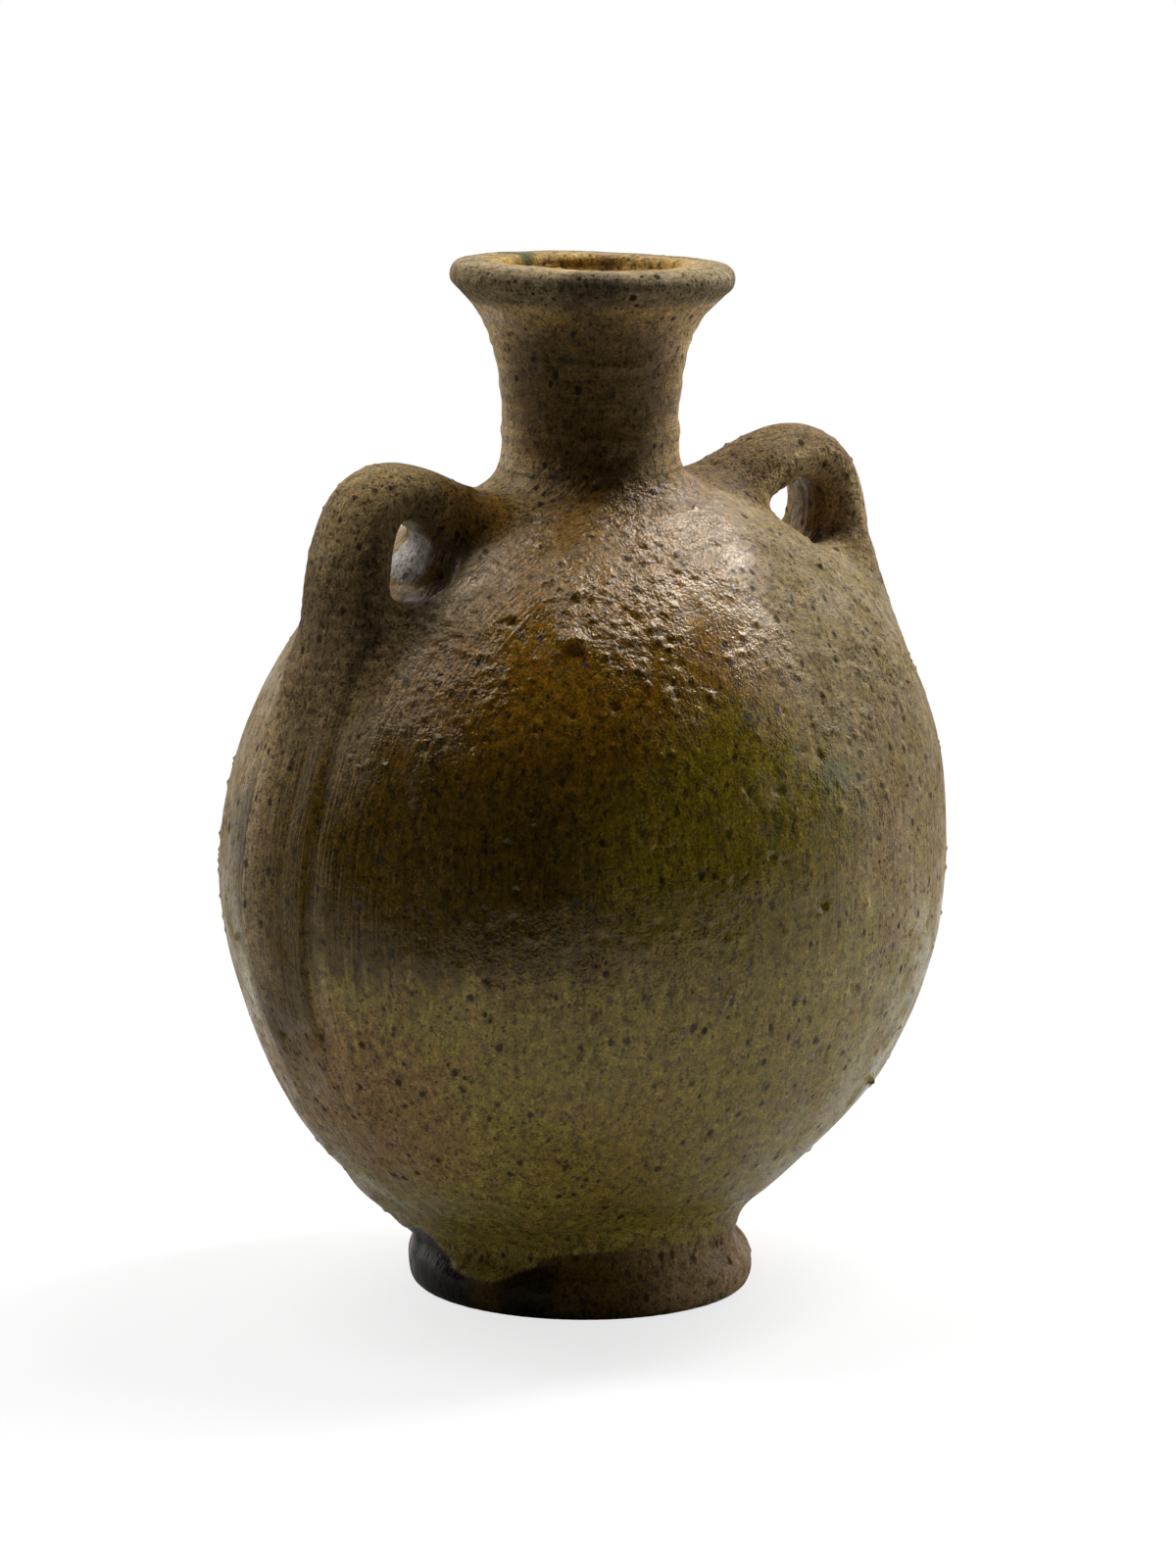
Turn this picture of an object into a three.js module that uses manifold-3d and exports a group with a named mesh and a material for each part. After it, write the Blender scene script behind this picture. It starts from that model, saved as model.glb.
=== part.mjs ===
// Two-handled pottery flask in the pilgrim-bottle form. Two thrown bowls are luted rim to rim into a round
// body, a band of clay is pressed into the joint, and a thrown neck, a thrown foot ring and two loop handles
// are luted on. Every luted joint is a line of slip, SLIP_GAP wide. Millimetres, +Z up, front face along -Y.
import * as THREE from 'three';
import { mergeVertices } from 'three/addons/utils/BufferGeometryUtils.js';
import Module from 'manifold-3d';

// Body: a disc that stands on edge, turned about the Y axis
const BODY_RADIUS = 98.5; // disc radius over the seam band
const BODY_DEPTH = 158; // front face to rear face
const BODY_LIFT = 10; // underside of the body above the table
const BODY_WALL = 6.5;
const SEAM_WIDTH = 24; // band of clay over the bowl joint
const SEAM_DEPTH = 3.5; // groove depth at the joint line
const SEAM_EDGE = 1.4; // groove depth at its two sides
const SLIP_GAP = 0.3;

// Neck, turned about the Z axis
const NECK_HEIGHT = 53; // lip above the top of the body
const NECK_RADIUS = 22.1; // outside of the straight stretch
const NECK_WALL = 6.3;
const FLARE_HEIGHT = 36; // from the straight stretch up to the lip
const FLARE_TURN = 20; // below the lip, where the flare bends outwards
const FLARE_LEAN = 1.1; // how far it has leant out by then
const SWEEP_LENGTH = 10; // last stretch of the flare, up to the lip
const SWEEP_SLOPE = 38; // degrees
const LIP_RADIUS = 35.6; // widest point of the rolled lip
const LIP_ROLL = 3.6; // rounding radius of the lip
const LIP_ROLL_START = -45; // degrees, where the flare runs into the roll
const MOUTH_RADIUS = 21.8; // opening inside the flat top of the lip
const MOUTH_EDGE = 1.8; // rounding radius of its edge
const MOUTH_DROP = 7; // depth at which the mouth draws in to the bore
const NECK_COIL_HEIGHT = 9; // luting coil, up the neck wall
const NECK_COIL_REACH = 8.5; // luting coil, out over the shoulder

// Foot ring, turned about the Z axis
const FOOT_RADIUS = 43.7; // widest point of the ring
const FOOT_BULGE_HEIGHT = 6.2; // height of that widest point
const FOOT_BASE_INSET = 2.6; // rounding in from the widest point to the resting face
const FOOT_WAIST_INSET = 3.9; // how far the ring draws in below the body
const FOOT_WALL = 6.8; // at the waist
const FOOT_COIL_HEIGHT = 3.4; // luting coil, down the ring from where the body is lowest over it
const FOOT_COIL_REACH = 7; // luting coil, out under the body

// Loop handles, in the XZ plane: a curve from under the neck coil, over and down into the side of the body.
// Its points are angles from the top of the body, in degrees, and heights over the body's surface.
const UPPER_ROOT_ANGLE = 16.4;
const LOWER_ROOT_ANGLE = 60.9;
const ROOT_SINK = 10; // both ends are buried this deep
const SHOULDER_PULL_ANGLE = 30.5; // control point that holds the loop low over the shoulder
const SHOULDER_PULL_RISE = 2.7;
const CROWN_PULL_ANGLE = 33.3; // control point that draws the loop up and out
const CROWN_PULL_RISE = 56.2;
const HANDLE_THICKNESS = 16.5; // in the plane of the loop
const HANDLE_WIDTH = 24; // along the hole
const ROOT_SWELL = 0.6; // share by which the ends thicken on the hole side where they are smeared on
const ROOT_SPREAD = 0.6; // share by which the ends widen along the hole

// Luting coils
const COIL_TIP = 1; // thickness left where a coil feathers out on the body
const COIL_HOLLOW = 0.7; // how far the hollow face is drawn into the corner that it fills, from 0 to 1

// Facet counts
const BODY_SEGMENTS = 56;
const DOME_STEPS = 11;
const CAVITY_STEPS = 8;
const TURNED_SEGMENTS = 40;
const CURVE_STEPS = 6;
const COIL_STEPS = 3;
const HANDLE_RINGS = 22;
const HANDLE_SIDES = 16;

// Derived sizes
const halfDepth = BODY_DEPTH / 2;
const halfSeam = SEAM_WIDTH / 2;
const bodyCentre = BODY_LIFT + BODY_RADIUS;
const bodyTop = bodyCentre + BODY_RADIUS;
const lipTop = bodyTop + NECK_HEIGHT;
const boreRadius = NECK_RADIUS - NECK_WALL;
const footWaist = FOOT_RADIUS - FOOT_WAIST_INSET;
const footBore = footWaist - FOOT_WALL;
// The domes are ellipses that run into the two edges of the seam band
const domeRadius = BODY_RADIUS / Math.sqrt(1 - (halfSeam / halfDepth) ** 2);
const footWaistHeight = bodyCentre - bodyRise(footWaist, 0) - FOOT_COIL_HEIGHT;

const wasm = await Module();
wasm.setup();

// Solids and meshes

// A closed geometry as a solid, with its shared corners merged and the slivers at a turning axis dropped
function solidOf(geometry) {
  const bare = geometry.clone();
  bare.deleteAttribute('normal');
  bare.deleteAttribute('uv');
  const merged = mergeVertices(bare, 1e-3);
  const corners = merged.index.array;
  const triVerts = [];
  for (let i = 0; i < corners.length; i += 3) {
    const [a, b, c] = corners.subarray(i, i + 3);
    if (a !== b && b !== c && c !== a) triVerts.push(a, b, c);
  }
  const vertProperties = merged.attributes.position.array;
  return new wasm.Manifold(
    new wasm.Mesh({ numProp: 3, vertProperties, triVerts: new Uint32Array(triVerts) }),
  );
}

function geometryOf(solid) {
  const { vertProperties, triVerts } = solid.getMesh();
  const geometry = new THREE.BufferGeometry();
  geometry.setAttribute('position', new THREE.BufferAttribute(vertProperties, 3));
  geometry.setIndex(new THREE.BufferAttribute(triVerts, 1));
  geometry.computeVertexNormals();
  return geometry;
}

function piece(name, solid, material) {
  const mesh = new THREE.Mesh(geometryOf(solid), material);
  mesh.name = name;
  return mesh;
}

// A profile of (radius, height) points turned about the Y axis, or about Z
function turnedAboutY(profile, segments) {
  return solidOf(new THREE.LatheGeometry(profile, segments));
}

function turnedAboutZ(profile, segments) {
  return solidOf(new THREE.LatheGeometry(profile, segments).rotateX(Math.PI / 2));
}

// A skin over loops of equal length, joined in a ring or closed by a cap at each end
function loft(loops, isRing) {
  const sides = loops[0].length;
  const points = loops.flat();
  const index = [];
  const spans = isRing ? loops.length : loops.length - 1;
  for (let i = 0; i < spans; i++) {
    const here = i * sides;
    const next = ((i + 1) % loops.length) * sides;
    for (let j = 0; j < sides; j++) {
      const k = (j + 1) % sides;
      index.push(here + j, here + k, next + j, here + k, next + k, next + j);
    }
  }
  if (!isRing) {
    const last = (loops.length - 1) * sides;
    for (let j = 1; j < sides - 1; j++) {
      index.push(0, j + 1, j, last, last + j, last + j + 1);
    }
  }
  const geometry = new THREE.BufferGeometry().setFromPoints(points);
  geometry.setIndex(index);
  return solidOf(geometry);
}

// Body form

// Half section of a dome, as (radius, y) from its pole on the axis to the plane y = edge
function domeCurve(radius, depth, edge, steps) {
  const end = Math.acos(edge / depth);
  return new THREE.EllipseCurve(0, 0, radius, depth, Math.PI / 2, Math.PI / 2 - end, true).getPoints(steps);
}

// Distance of the body's surface from the Y axis, at a place y along that axis
function bodyRadiusAt(y) {
  return Math.min(BODY_RADIUS, domeRadius * Math.sqrt(Math.max(0, 1 - (y / halfDepth) ** 2)));
}

// Height of the body's surface above or below its centre, at a place (x, y)
function bodyRise(x, y) {
  return Math.sqrt(Math.max(0, bodyRadiusAt(y) ** 2 - x ** 2));
}

// The whole outside of the body as one solid, grown by the slip line, which the luted pieces are cut with
function bodyEnvelope() {
  const quarter = domeCurve(domeRadius + SLIP_GAP, halfDepth + SLIP_GAP, halfSeam, DOME_STEPS);
  quarter[quarter.length - 1].x = BODY_RADIUS + SLIP_GAP;
  const front = quarter.map((p) => new THREE.Vector2(p.x, -p.y));
  const rear = quarter.toReversed();
  return turnedAboutY([...front, ...rear], BODY_SEGMENTS).translate([0, 0, bodyCentre]);
}

// One thrown bowl, opening towards +Y, with its rim pared back into half of the seam groove
function bowlProfile() {
  const outside = domeCurve(domeRadius, halfDepth, halfSeam, DOME_STEPS);
  const inside = domeCurve(domeRadius - BODY_WALL, halfDepth - BODY_WALL, SLIP_GAP / 2, CAVITY_STEPS);
  const groove = [
    new THREE.Vector2(BODY_RADIUS - SEAM_EDGE, halfSeam),
    new THREE.Vector2(BODY_RADIUS - SEAM_DEPTH, SLIP_GAP / 2),
  ];
  return [...outside, ...groove, ...inside.toReversed()].map((p) => new THREE.Vector2(p.x, -p.y));
}

// The hole that the bore of the neck makes through the top of the body
function neckHole() {
  const hole = new THREE.CylinderGeometry(boreRadius, boreRadius, BODY_RADIUS, TURNED_SEGMENTS);
  hole.rotateX(Math.PI / 2).translate(0, 0, bodyTop);
  return solidOf(hole);
}

function bowl(facing) {
  const turned = turnedAboutY(bowlProfile(), BODY_SEGMENTS);
  const placed = facing === 'rear' ? turned.rotate([0, 0, 180]) : turned;
  return placed.translate([0, 0, bodyCentre]).subtract(neckHole());
}

function seamBand() {
  const side = halfSeam - SLIP_GAP;
  const profile = [
    [BODY_RADIUS - SEAM_EDGE + SLIP_GAP, -side],
    [BODY_RADIUS, -side],
    [BODY_RADIUS, side],
    [BODY_RADIUS - SEAM_EDGE + SLIP_GAP, side],
    [BODY_RADIUS - SEAM_DEPTH + SLIP_GAP, 0],
    [BODY_RADIUS - SEAM_EDGE + SLIP_GAP, -side],
  ].map(([radius, y]) => new THREE.Vector2(radius, y));
  const ring = turnedAboutY(profile, BODY_SEGMENTS).translate([0, 0, bodyCentre]);
  return ring.subtract(neckHole());
}

// Neck

// Outside of the neck from the shoulder up, over the flat-topped lip and down the bore, as (radius, z)
function neckProfile() {
  const { degToRad } = THREE.MathUtils;
  const buried = bodyTop - NECK_RADIUS;
  const flareStart = lipTop - FLARE_HEIGHT;
  const roll = new THREE.Vector2(LIP_RADIUS - LIP_ROLL, lipTop - LIP_ROLL);
  const rollStart = degToRad(LIP_ROLL_START);
  const slope = degToRad(SWEEP_SLOPE);
  const underLip = new THREE.Vector2(LIP_ROLL, 0).rotateAround(new THREE.Vector2(), rollStart).add(roll);
  const path = new THREE.Path();
  path.moveTo(NECK_RADIUS, buried);
  path.lineTo(NECK_RADIUS, flareStart);
  path.bezierCurveTo(
    NECK_RADIUS + FLARE_LEAN, lipTop - FLARE_TURN,
    underLip.x - SWEEP_LENGTH * Math.cos(slope), underLip.y - SWEEP_LENGTH * Math.sin(slope),
    underLip.x, underLip.y,
  );
  path.absarc(roll.x, roll.y, LIP_ROLL, rollStart, Math.PI / 2, false);
  path.absarc(MOUTH_RADIUS + MOUTH_EDGE, lipTop - MOUTH_EDGE, MOUTH_EDGE, Math.PI / 2, Math.PI, false);
  path.bezierCurveTo(
    MOUTH_RADIUS, lipTop - MOUTH_DROP,
    boreRadius, lipTop - MOUTH_DROP,
    boreRadius, lipTop - FLARE_TURN,
  );
  path.lineTo(boreRadius, buried);
  path.closePath();
  return path.getPoints(CURVE_STEPS);
}

// The neck runs down to the shoulder and is cut to it
function neck() {
  return turnedAboutZ(neckProfile(), TURNED_SEGMENTS).subtract(bodyEnvelope());
}

// A ring of sections, one for each direction round the Z axis
function ringOfSections(sectionAt) {
  const loops = [];
  for (let i = 0; i < TURNED_SEGMENTS; i++) {
    const angle = (-i / TURNED_SEGMENTS) * Math.PI * 2;
    const away = new THREE.Vector2(Math.cos(angle), Math.sin(angle));
    loops.push(
      sectionAt(away).map((p) => new THREE.Vector3(p.x * away.x, p.x * away.y, p.y)),
    );
  }
  return loft(loops, true);
}

// Points of a luting coil's underside or top, along the body from one radius to another
function alongBody(away, from, to, side) {
  const points = [];
  for (let i = 0; i <= COIL_STEPS; i++) {
    const radius = THREE.MathUtils.lerp(from, to, i / COIL_STEPS);
    const rise = bodyRise(radius * away.x, radius * away.y) + 2 * SLIP_GAP;
    points.push(new THREE.Vector2(radius, bodyCentre + side * rise));
  }
  return points;
}

// Face of a luting coil from one edge to the other, hollowed towards the corner that the coil fills
function hollowFace(from, corner, to) {
  const pull = from.clone().lerp(to, 0.5).lerp(corner, COIL_HOLLOW);
  return new THREE.QuadraticBezierCurve(from, pull, to).getPoints(CURVE_STEPS);
}

// Hollow fillet pressed into the corner between the neck and the shoulder
function neckCoil() {
  return ringOfSections((away) => {
    const wall = NECK_RADIUS + SLIP_GAP;
    const under = alongBody(away, wall, wall + NECK_COIL_REACH, 1);
    const tip = under.at(-1).clone().add(new THREE.Vector2(0, COIL_TIP));
    const top = new THREE.Vector2(wall, bodyTop + NECK_COIL_HEIGHT);
    return [...under, ...hollowFace(tip, under[0], top)];
  });
}

// Foot

function footProfile() {
  const base = FOOT_RADIUS - FOOT_BASE_INSET;
  const drawIn = (FOOT_BULGE_HEIGHT + footWaistHeight) / 2;
  const path = new THREE.Path();
  path.moveTo(footBore, 0);
  path.lineTo(base, 0);
  path.quadraticCurveTo(FOOT_RADIUS, 0, FOOT_RADIUS, FOOT_BULGE_HEIGHT);
  path.bezierCurveTo(FOOT_RADIUS, drawIn, footWaist, drawIn, footWaist, footWaistHeight);
  path.lineTo(footWaist, bodyCentre);
  path.lineTo(footBore, bodyCentre);
  path.closePath();
  return path.getPoints(CURVE_STEPS);
}

// The ring runs up to the underside of the body and is cut to it
function footRing() {
  return turnedAboutZ(footProfile(), TURNED_SEGMENTS).subtract(bodyEnvelope());
}

// Hollow fillet pressed into the corner between the foot ring and the underside of the body
function footCoil() {
  return ringOfSections((away) => {
    const wall = footWaist + SLIP_GAP;
    const over = alongBody(away, wall, wall + FOOT_COIL_REACH, -1);
    const tip = over.at(-1).clone().sub(new THREE.Vector2(0, COIL_TIP));
    const low = new THREE.Vector2(wall, footWaistHeight);
    return [...hollowFace(low, over[0], tip), ...over.toReversed()];
  });
}

// Handles

// A point in the plane of the handles, at an angle from the top of the body and a height over its surface
function overBody(degrees, rise) {
  const angle = THREE.MathUtils.degToRad(degrees);
  const reach = BODY_RADIUS + rise;
  return new THREE.Vector3(reach * Math.sin(angle), 0, bodyCentre + reach * Math.cos(angle));
}

// Centre line of the right-hand loop, from inside the shoulder, over and down into the side of the body
function handlePath() {
  return new THREE.CubicBezierCurve3(
    overBody(UPPER_ROOT_ANGLE, -ROOT_SINK),
    overBody(SHOULDER_PULL_ANGLE, SHOULDER_PULL_RISE),
    overBody(CROWN_PULL_ANGLE, CROWN_PULL_RISE),
    overBody(LOWER_ROOT_ANGLE, -ROOT_SINK),
  );
}

function handleLoops() {
  const path = handlePath();
  const across = new THREE.Vector3(0, 1, 0);
  const loops = [];
  for (let i = 0; i < HANDLE_RINGS; i++) {
    const along = i / (HANDLE_RINGS - 1);
    const centre = path.getPointAt(along);
    const outward = path.getTangentAt(along).cross(across);
    const towardsRoot = (2 * along - 1) ** 2;
    const outside = HANDLE_THICKNESS / 2;
    const inside = HANDLE_THICKNESS * (0.5 + ROOT_SWELL * towardsRoot);
    const halfWidth = (HANDLE_WIDTH / 2) * (1 + ROOT_SPREAD * towardsRoot);
    const loop = [];
    for (let j = 0; j < HANDLE_SIDES; j++) {
      const turn = (-j / HANDLE_SIDES) * Math.PI * 2;
      const reach = (Math.cos(turn) > 0 ? outside : inside) * Math.cos(turn);
      loop.push(
        centre.clone()
          .addScaledVector(outward, reach)
          .addScaledVector(across, halfWidth * Math.sin(turn)),
      );
    }
    loops.push(loop);
  }
  return loops;
}

// The neck and its coil as one solid, grown by the slip line, that keeps the handle roots clear
function neckEnvelope() {
  const reach = NECK_RADIUS + NECK_COIL_REACH + 2 * SLIP_GAP;
  const profile = [
    [0, bodyCentre],
    [reach, bodyCentre],
    [reach, bodyTop],
    [NECK_RADIUS + 2 * SLIP_GAP, bodyTop + NECK_COIL_HEIGHT + SLIP_GAP],
    [NECK_RADIUS + 2 * SLIP_GAP, lipTop],
    [0, lipTop],
  ].map(([radius, z]) => new THREE.Vector2(radius, z));
  return turnedAboutZ(profile, TURNED_SEGMENTS);
}

function handle(side) {
  const whole = loft(handleLoops(), false);
  const placed = side === 'left' ? whole.rotate([0, 0, 180]) : whole;
  return placed.subtract(bodyEnvelope()).subtract(neckEnvelope());
}

// Materials: one clay under a lead glaze that goes from amber to olive, worn matt on the raised places
const amberGlaze = new THREE.MeshStandardMaterial({ color: 0x5e4420, roughness: 0.3, metalness: 0 });
const oliveGlaze = new THREE.MeshStandardMaterial({ color: 0x5c522a, roughness: 0.35, metalness: 0 });
const wornGlaze = new THREE.MeshStandardMaterial({ color: 0x8a7048, roughness: 0.6, metalness: 0 });
const bareClay = new THREE.MeshStandardMaterial({ color: 0x6b4a30, roughness: 0.8, metalness: 0 });

const flask = new THREE.Group();
flask.add(
  piece('front_bowl', bowl('front'), oliveGlaze),
  piece('rear_bowl', bowl('rear'), amberGlaze),
  piece('seam_band', seamBand(), wornGlaze),
  piece('neck', neck(), wornGlaze),
  piece('neck_luting_coil', neckCoil(), wornGlaze),
  piece('left_handle', handle('left'), wornGlaze),
  piece('right_handle', handle('right'), wornGlaze),
  piece('foot_ring', footRing(), bareClay),
  piece('foot_luting_coil', footCoil(), oliveGlaze),
);

export default flask;
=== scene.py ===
import math

import bmesh
import bpy
import numpy as np
import openvdb
from mathutils import Matrix, Vector, kdtree, noise


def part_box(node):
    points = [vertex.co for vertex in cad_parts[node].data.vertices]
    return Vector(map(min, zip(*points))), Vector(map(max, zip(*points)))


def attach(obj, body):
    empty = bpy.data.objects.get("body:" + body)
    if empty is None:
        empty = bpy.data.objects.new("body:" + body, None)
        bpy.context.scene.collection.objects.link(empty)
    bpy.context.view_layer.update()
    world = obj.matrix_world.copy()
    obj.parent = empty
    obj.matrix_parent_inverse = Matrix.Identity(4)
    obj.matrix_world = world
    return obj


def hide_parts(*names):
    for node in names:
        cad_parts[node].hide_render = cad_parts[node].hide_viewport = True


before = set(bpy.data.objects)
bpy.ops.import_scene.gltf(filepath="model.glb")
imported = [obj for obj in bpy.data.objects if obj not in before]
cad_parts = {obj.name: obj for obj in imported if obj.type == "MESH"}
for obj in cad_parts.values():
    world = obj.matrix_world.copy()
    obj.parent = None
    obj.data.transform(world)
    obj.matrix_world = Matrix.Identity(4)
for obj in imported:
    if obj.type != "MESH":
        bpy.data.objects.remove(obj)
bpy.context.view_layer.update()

# Lengths below are in millimetres, as the potter would measure them, and meshes are made in metres
MM = 0.001


def box_mm(node):
    low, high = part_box(node)
    return np.array(low) / MM, np.array(high) / MM


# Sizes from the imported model
band_low, band_high = box_mm("seam_band")
neck_high = box_mm("neck")[1]
coil_high = box_mm("neck_luting_coil")[1]
BODY_RADIUS = band_high[0]
BODY_CENTRE = band_low[2] + BODY_RADIUS
BODY_TOP = BODY_CENTRE + BODY_RADIUS
HALF_DEPTH = box_mm("rear_bowl")[1][1]
HALF_SEAM = band_high[1]
LIP_RADIUS = neck_high[0]
LIP_TOP = neck_high[2]
NECK_COIL_RADIUS = coil_high[0]
NECK_COIL_TOP = coil_high[2]
FOOT_RADIUS = box_mm("foot_ring")[1][0]
FOOT_COIL_RADIUS = box_mm("foot_luting_coil")[1][0]
DOME_RADIUS = BODY_RADIUS / math.sqrt(1 - (HALF_SEAM / HALF_DEPTH) ** 2)

# Body
BODY_WALL = 6.5

# Neck
NECK_RADIUS = 22.1
BORE_RADIUS = 15.8
FLARE_HEIGHT = 36
FLARE_TURN = 20
FLARE_LEAN = 1.1
SWEEP_LENGTH = 10
SWEEP_SLOPE = 38
LIP_ROLL = 3.6
LIP_ROLL_START = -45
MOUTH_RADIUS = 21.8
MOUTH_EDGE = 1.8
MOUTH_DROP = 7

# Foot
FOOT_BASE = FOOT_RADIUS - 2.6
FOOT_BULGE_HEIGHT = 6.2
FOOT_WAIST = FOOT_RADIUS - 3.9
FOOT_WAIST_HEIGHT = 15
FOOT_BORE = 33

# Handles: angles from the top of the body and heights over its surface, then the section
HANDLE_CURVES = {
    -1: [(16.4, -10), (30.5, 5.2), (31.6, 57), (60.5, -10)],
    1: [(16.4, -10), (30.5, 4), (34.5, 60), (60.5, -10)],
}
HANDLE_THICKNESS = 14.5
HANDLE_WIDTH = 22.5
ROOT_SWELL = 0.25
ROOT_SPREAD = 0.35
# Holes through the loops, opened with a finger: centre, half width and height, and lean along the hole
HANDLE_HOLES = {
    -1: ((62.6, 190.2), (6.6, 9.2), 0.2),
    1: ((66.3, 193.3), (5.9, 7.8), 0.1),
}
# They widen towards both ends and then close, over these distances from the middle of the handle
HOLE_FLARE = 0.25
HOLE_FLARE_SPAN = (3, 13)
HOLE_END_SPAN = (11, 18)
CLOSED_HOLE = 0.01
HOLE_EDGE = 3

# Radii of the smoothed joints
NECK_BLEND = 9
HOLE_BLEND = 9
ROOT_BLENDS = {-1: 9, 1: 24}
FOOT_BLEND = 5
PRESSED_FOOT_BLEND = 16
EDGE_BLEND = 2
# Heights between which the roots' wider blend sets in, beside the hole and under it
ROOT_HEIGHTS = (196, 180)
UNDER_HOLE_HEIGHTS = (188, 178)
# How far to the left the foot is pressed against the body, as shares of its radius
PRESSED_SIDE = (0.5, 0.95)

# Joints: how deep the luted pieces are let into the body, and how far round a handle its root reaches
ROOT_DEPTH = 1.7
ROOT_REACH = 5
COIL_DEPTH = 3
GROOVE_DEPTH = 4.2
GROOVE_EDGE = 3
SLIP = 0.5

# Mesh, and the ranges in X, Y and Z that hold the right handle, the neck and the foot
VOXEL = 0.85
GRID_MARGIN = 4
HANDLE_BLOCK = ((15, 110), (-45, 45), (130, 230))
NECK_BLOCK = ((-50, 50), (-50, 50), (180, 280))
FOOT_BLOCK = ((-65, 65), (-65, 65), (-10, 45))
TURNED_SEGMENTS = 120
HANDLE_STEPS = 60
TOOL_RINGS = 26
TOOL_SIDES = 24
CURVE_POINTS = 14
SEED = 11

# Left and right as the viewer of the photograph sees them
VIEW_TURN = math.radians(-40)
VIEW_RIGHT = np.array([math.cos(VIEW_TURN), math.sin(VIEW_TURN), 0])
VIEW_FRONT = np.array([math.sin(VIEW_TURN), -math.cos(VIEW_TURN), 0])

# Uneven places of the hand-made form: where, how wide, and how far the surface is pushed out
PUSHES = [
    ((74, -39, 153), 45, 1.8),
    ((46, -32, 32), 30, -1.6),
    ((-86, 26, 73), 42, -2.2),
    ((-50, 26, 22), 18, 4.2),
    ((-43, 22, 13.5), 9, 2.0),
    ((31, -26, 15.5), 13, -2.4),
]
RIM_TILT = 0.015
RIM_LIFT = 0.035
FOOT_SHIFT = -0.6
FOOT_SHIFT_HEIGHTS = (4, 24)

# Blemishes on the surface: where, how wide, and how high
LUMPS = [
    ((-38, -40, 186), 3.4, 1.3),
    ((-44, -47, 175.5), 4.2, 1.7),
    ((-59, -51, 156), 2.6, 0.9),
    ((-64, -56, 137), 2.8, 1.0),
    ((48.6, -54.2, 54.8), 1.8, 1.6),
    ((39.6, -31, 11), 1.8, 1.5),
    ((-95, 20, 98), 1.6, 1.2),
    ((9.6, -78.6, 109.5), 2.6, -1.3),
    ((-59, -51, 156), 1.8, -1.3),
    ((-64, -56, 137), 1.8, -1.4),
    ((-15.9, -71.6, 69.4), 2.2, -0.9),
    ((-12, -72, 67), 1.8, -0.8),
    ((-88.5, -11.4, 64.9), 2.2, -0.8),
]
# Scratches through the glaze: both ends, width and depth
SCRATCHES = [
    ((-14.5, -73.5, 143.5), (-8.5, -76.5, 134.5), 1.1, -0.35),
    ((-45.7, -54, 54), (-52.5, -47, 46.5), 1.0, -0.5),
]
# The seam band at the flanks: a low strap with a soft front edge, raised along its rear edge
STRAP_HEIGHT = 1.0
STRAP_EDGE = 2
LEDGE_HEIGHT = 2.0
# Depths inside the outline and heights over which it rises, heights over which it ends, and its drop behind
STRAP_DEPTHS = (8, 4)
STRAP_RISE = (55, 95)
STRAP_END = (164, 178)
LEDGE_DROP = (-0.3, 0.7)
# Folds and ridges that the potter's fingers left round the neck: height, reach and rise
FOLDS = (240, 7, 0.45)
NECK_RIDGES = [
    (229, 2.5, 0.25),
    (218, 1.8, 0.35),
    (208, 1.8, 0.3),
]
# Roughness of the surface: wavelength and height. The grain stands higher where the surface is crusted
SWELL = (36, 0.4)
DENTS = (9, 0.15)
TURNING_RINGS = (5, 0.16)
NECK_LINES = (2.8, 0.2)
CLODS = (5, 0.2)
GRAIN_LENGTH = 2.1
GRAIN_HEIGHT = 0.04
CRUST_HEIGHT = 0.22
# The rings set in at these distances from the middle of each bowl
RINGED = (60, 110)
# How far a ring, a line or a fold is drawn out
RING_STRETCH = 8
LINE_STRETCH = 6
FOLD_STRETCH = 7
FOLD_LENGTH = 2
# Thickness of the glaze along its lower edge
GLAZE_EDGE = 0.5
# Where the surface is crusted with grit: everywhere, on the handles, and zones of centre, reach and strength
BASE_CRUST = 0.12
HANDLE_CRUST = 0.8
ZONE_CRUST = 1.5
CRUST_PATCHES = 13
CRUST_ZONES = [
    ((-20, -42, 188), 58, 1.0),
    ((42, -48, 172), 52, 0.7),
    ((-78, -26, 165), 40, 0.8),
    ((-62, -60, 97), 34, 0.4),
    ((-24, -73, 95), 30, 0.4),
    ((24, -70, 140), 20, 0.7),
    ((20, 45, 186), 60, 0.9),
    ((-60, 50, 110), 45, 0.5),
]
# Distances from a handle over which its own surface and glaze end, and how much less its crust stands out
HANDLE_REACH = (1, 9)
HANDLE_SMOOTHING = 0.6
# Grains of grit and small pits: count, range of radii and range of heights
GRIT = (1900, (0.8, 1.7), (0.15, 0.6))
PITS = (420, (1.0, 2.0), (-0.7, -0.25))

# Colours of the clay and the glaze, from thin to thick, and lighter and darker copies of them that paint
# light and shade
TAN = (0.245, 0.168, 0.067)
# Pale tan as painted light: a sheen on the left shoulder, a highlight along the band's ledge, and light on
# the sides of the right handle
PAINTED_LIGHT_TAN = (0.38, 0.265, 0.125)
ORANGE = (0.2, 0.105, 0.025)
KHAKI = (0.28, 0.212, 0.04)
ROSE = (0.27, 0.15, 0.045)
AMBER = (0.17, 0.08, 0.004)
BROWN = (0.078, 0.043, 0.002)
OLIVE = (0.155, 0.112, 0.006)
GREEN = (0.035, 0.06, 0.02)
# Tan darkened as painted shade on the right flank, which faces the lamps
SHADED_FLANK_TAN = (0.15, 0.105, 0.028)
# Brown: the glaze on the left shoulder, and painted shade on the handles
BROWN_AND_PAINTED_SHADE = (0.10, 0.06, 0.024)
NECK_BROWN = (0.56, 0.37, 0.14)
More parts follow.
